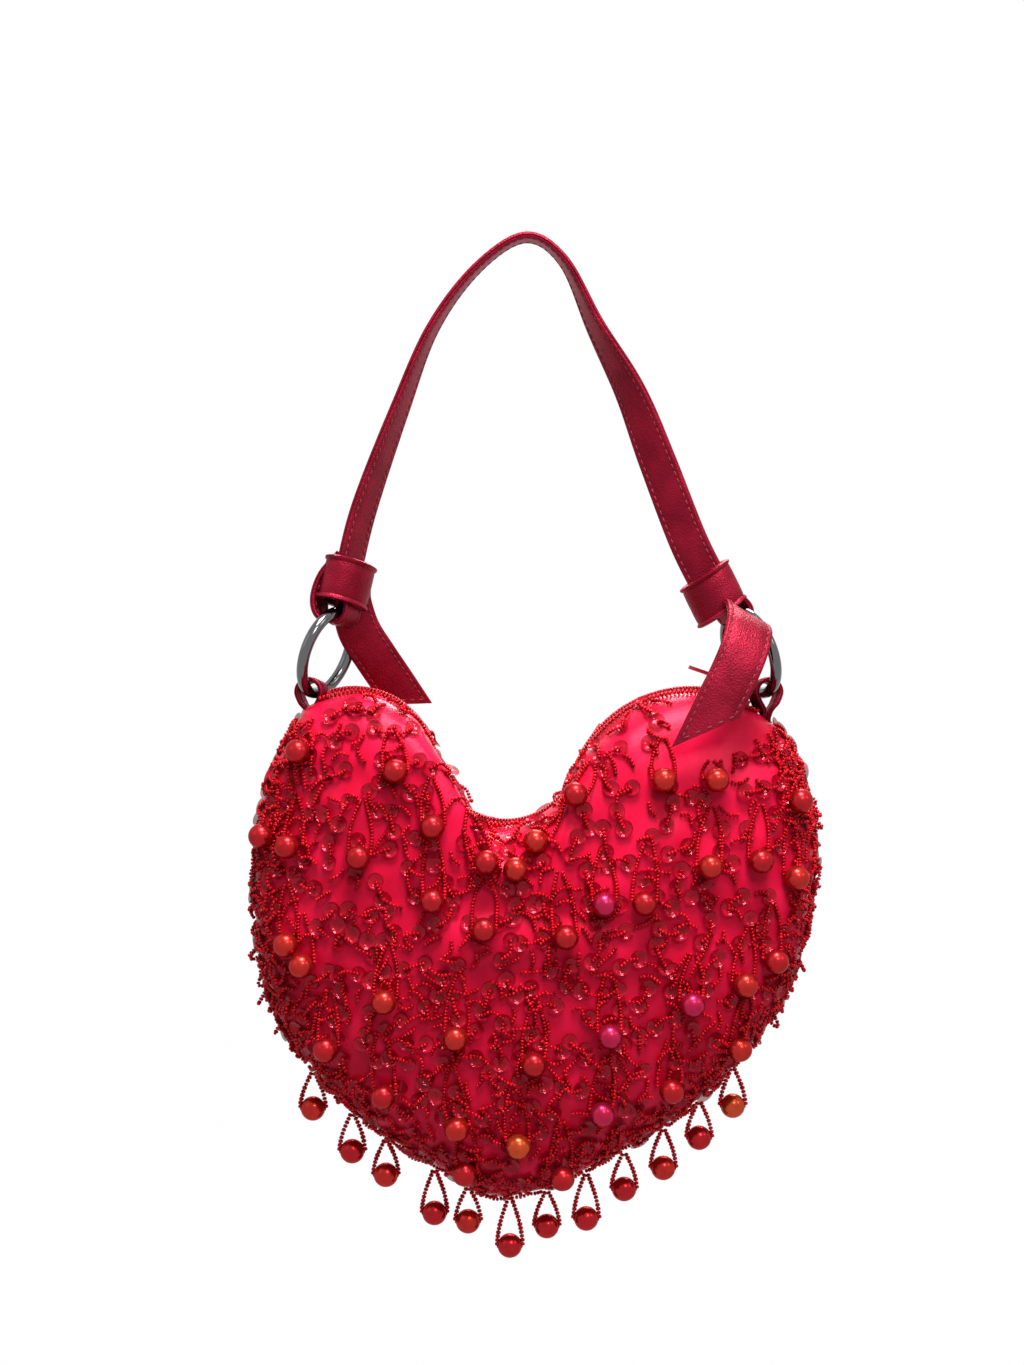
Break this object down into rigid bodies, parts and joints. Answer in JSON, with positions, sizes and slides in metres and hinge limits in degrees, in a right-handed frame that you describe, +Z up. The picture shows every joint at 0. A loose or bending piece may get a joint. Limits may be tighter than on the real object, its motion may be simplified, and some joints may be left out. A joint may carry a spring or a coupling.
{
  "type": "heart shaped purse",
  "caption": "Heart shaped evening purse in padded red satin with a zipped top, sewn pearls and bead drops, hung from metal rings on a knotted leather strap.",
  "frame": {"origin": "under the top of the strap, where a hand holds the purse", "axes": "+X to the right seen from the front, +Y towards the back, +Z up"},
  "size_m": [0.1966, 0.0757, 0.3589],
  "materials": {
    "satin": "padded satin with a soft sheen",
    "lining": "plain woven lining",
    "zip_tape": "woven zip tape",
    "zip_teeth": "moulded coil",
    "zip_metal": "plated",
    "seed_beads": "small glass beads on thread",
    "pearls": "pearl lacquer on plastic",
    "strap_leather": "metallic foil leather with a soft sheen",
    "ring_metal": "polished"
  },
  "bodies": {
    "strap": {"strap": "strap_leather", "strap_loop_left": "strap_leather", "strap_loop_right": "strap_leather", "knot_wrap_left": "strap_leather", "knot_wrap_right": "strap_leather", "strap_tail_left": "strap_leather", "strap_tail_right": "strap_leather"},
    "ring_left": {"ring_left": "ring_metal"},
    "ring_right": {"ring_right": "ring_metal"},
    "bag": {"front_panel": "satin", "back_panel": "satin", "front_lining": "lining", "back_lining": "lining", "zip_tape_front": "zip_tape", "zip_tape_back": "zip_tape", "zip_teeth_front": "zip_teeth", "zip_teeth_back": "zip_teeth", "zip_stop_left": "zip_metal", "zip_stop_right": "zip_metal", "front_edge_beads": "seed_beads", "back_edge_beads": "seed_beads", "front_pearls": "pearls", "back_pearls": "pearls", "ring_tab_left": "strap_leather", "ring_tab_right": "strap_leather"},
    "zip_slider": {"zip_slider": "zip_metal"},
    "zip_pull": {"zip_pull": "zip_metal"},
    "fringe_01": {"fringe_drop_01": "pearls"},
    "fringe_02": {"fringe_drop_02": "pearls"},
    "fringe_03": {"fringe_drop_03": "pearls"},
    "fringe_04": {"fringe_drop_04": "pearls"},
    "fringe_05": {"fringe_drop_05": "pearls"},
    "fringe_06": {"fringe_drop_06": "pearls"},
    "fringe_07": {"fringe_drop_07": "pearls"},
    "fringe_08": {"fringe_drop_08": "pearls"},
    "fringe_09": {"fringe_drop_09": "pearls"},
    "fringe_10": {"fringe_drop_10": "pearls"},
    "fringe_11": {"fringe_drop_11": "pearls"},
    "fringe_12": {"fringe_drop_12": "pearls"}
  },
  "joints": [
    {"name": "ring_left_spin", "type": "hinge", "parent": "strap", "child": "ring_left", "pos_m": [-0.06942, 0, -0.1445], "axis": [-0.8461, 0.4226, 0.3248], "continuous": true},
    {"name": "ring_right_spin", "type": "hinge", "parent": "strap", "child": "ring_right", "pos_m": [0.07902, 0, -0.1445], "axis": [-0.8461, -0.4226, -0.3248], "continuous": true},
    {"name": "bag_swing", "type": "hinge", "parent": "strap", "child": "bag", "pos_m": [0, 0, -0.1585], "axis": [1, 0, 0], "range_deg": [-12, 12]},
    {"name": "zip_slide", "type": "hinge", "parent": "bag", "child": "zip_slider", "pos_m": [0.058, 0, -0.2], "axis": [0, 1, 0], "range_deg": [-81, 0]},
    {"name": "zip_pull_flip", "type": "hinge", "parent": "zip_slider", "child": "zip_pull", "pos_m": [0.07346, 0, -0.15509], "axis": [0, 1, 0], "range_deg": [0, 110]},
    {"name": "fringe_01_swing", "type": "hinge", "parent": "bag", "child": "fringe_01", "pos_m": [-0.0744, 0, -0.29116], "axis": [1, 0, 0], "range_deg": [-30, 30]},
    {"name": "fringe_02_swing", "type": "hinge", "parent": "bag", "child": "fringe_02", "pos_m": [-0.06064, 0, -0.30563], "axis": [1, 0, 0], "range_deg": [-30, 30]},
    {"name": "fringe_03_swing", "type": "hinge", "parent": "bag", "child": "fringe_03", "pos_m": [-0.04885, 0, -0.31498], "axis": [1, 0, 0], "range_deg": [-30, 30]},
    {"name": "fringe_04_swing", "type": "hinge", "parent": "bag", "child": "fringe_04", "pos_m": [-0.03179, 0, -0.32554], "axis": [1, 0, 0], "range_deg": [-30, 30]},
    {"name": "fringe_05_swing", "type": "hinge", "parent": "bag", "child": "fringe_05", "pos_m": [-0.02002, 0, -0.33161], "axis": [1, 0, 0], "range_deg": [-30, 30]},
    {"name": "fringe_06_swing", "type": "hinge", "parent": "bag", "child": "fringe_06", "pos_m": [-0.00538, 0, -0.33484], "axis": [1, 0, 0], "range_deg": [-30, 30]},
    {"name": "fringe_07_swing", "type": "hinge", "parent": "bag", "child": "fringe_07", "pos_m": [0.00758, 0, -0.33296], "axis": [1, 0, 0], "range_deg": [-30, 30]},
    {"name": "fringe_08_swing", "type": "hinge", "parent": "bag", "child": "fringe_08", "pos_m": [0.02141, 0, -0.32676], "axis": [1, 0, 0], "range_deg": [-30, 30]},
    {"name": "fringe_09_swing", "type": "hinge", "parent": "bag", "child": "fringe_09", "pos_m": [0.0347, 0, -0.31959], "axis": [1, 0, 0], "range_deg": [-30, 30]},
    {"name": "fringe_10_swing", "type": "hinge", "parent": "bag", "child": "fringe_10", "pos_m": [0.04841, 0, -0.31115], "axis": [1, 0, 0], "range_deg": [-30, 30]},
    {"name": "fringe_11_swing", "type": "hinge", "parent": "bag", "child": "fringe_11", "pos_m": [0.061, 0, -0.30162], "axis": [1, 0, 0], "range_deg": [-30, 30]},
    {"name": "fringe_12_swing", "type": "hinge", "parent": "bag", "child": "fringe_12", "pos_m": [0.07279, 0, -0.2897], "axis": [1, 0, 0], "range_deg": [-30, 30]}
  ]
}
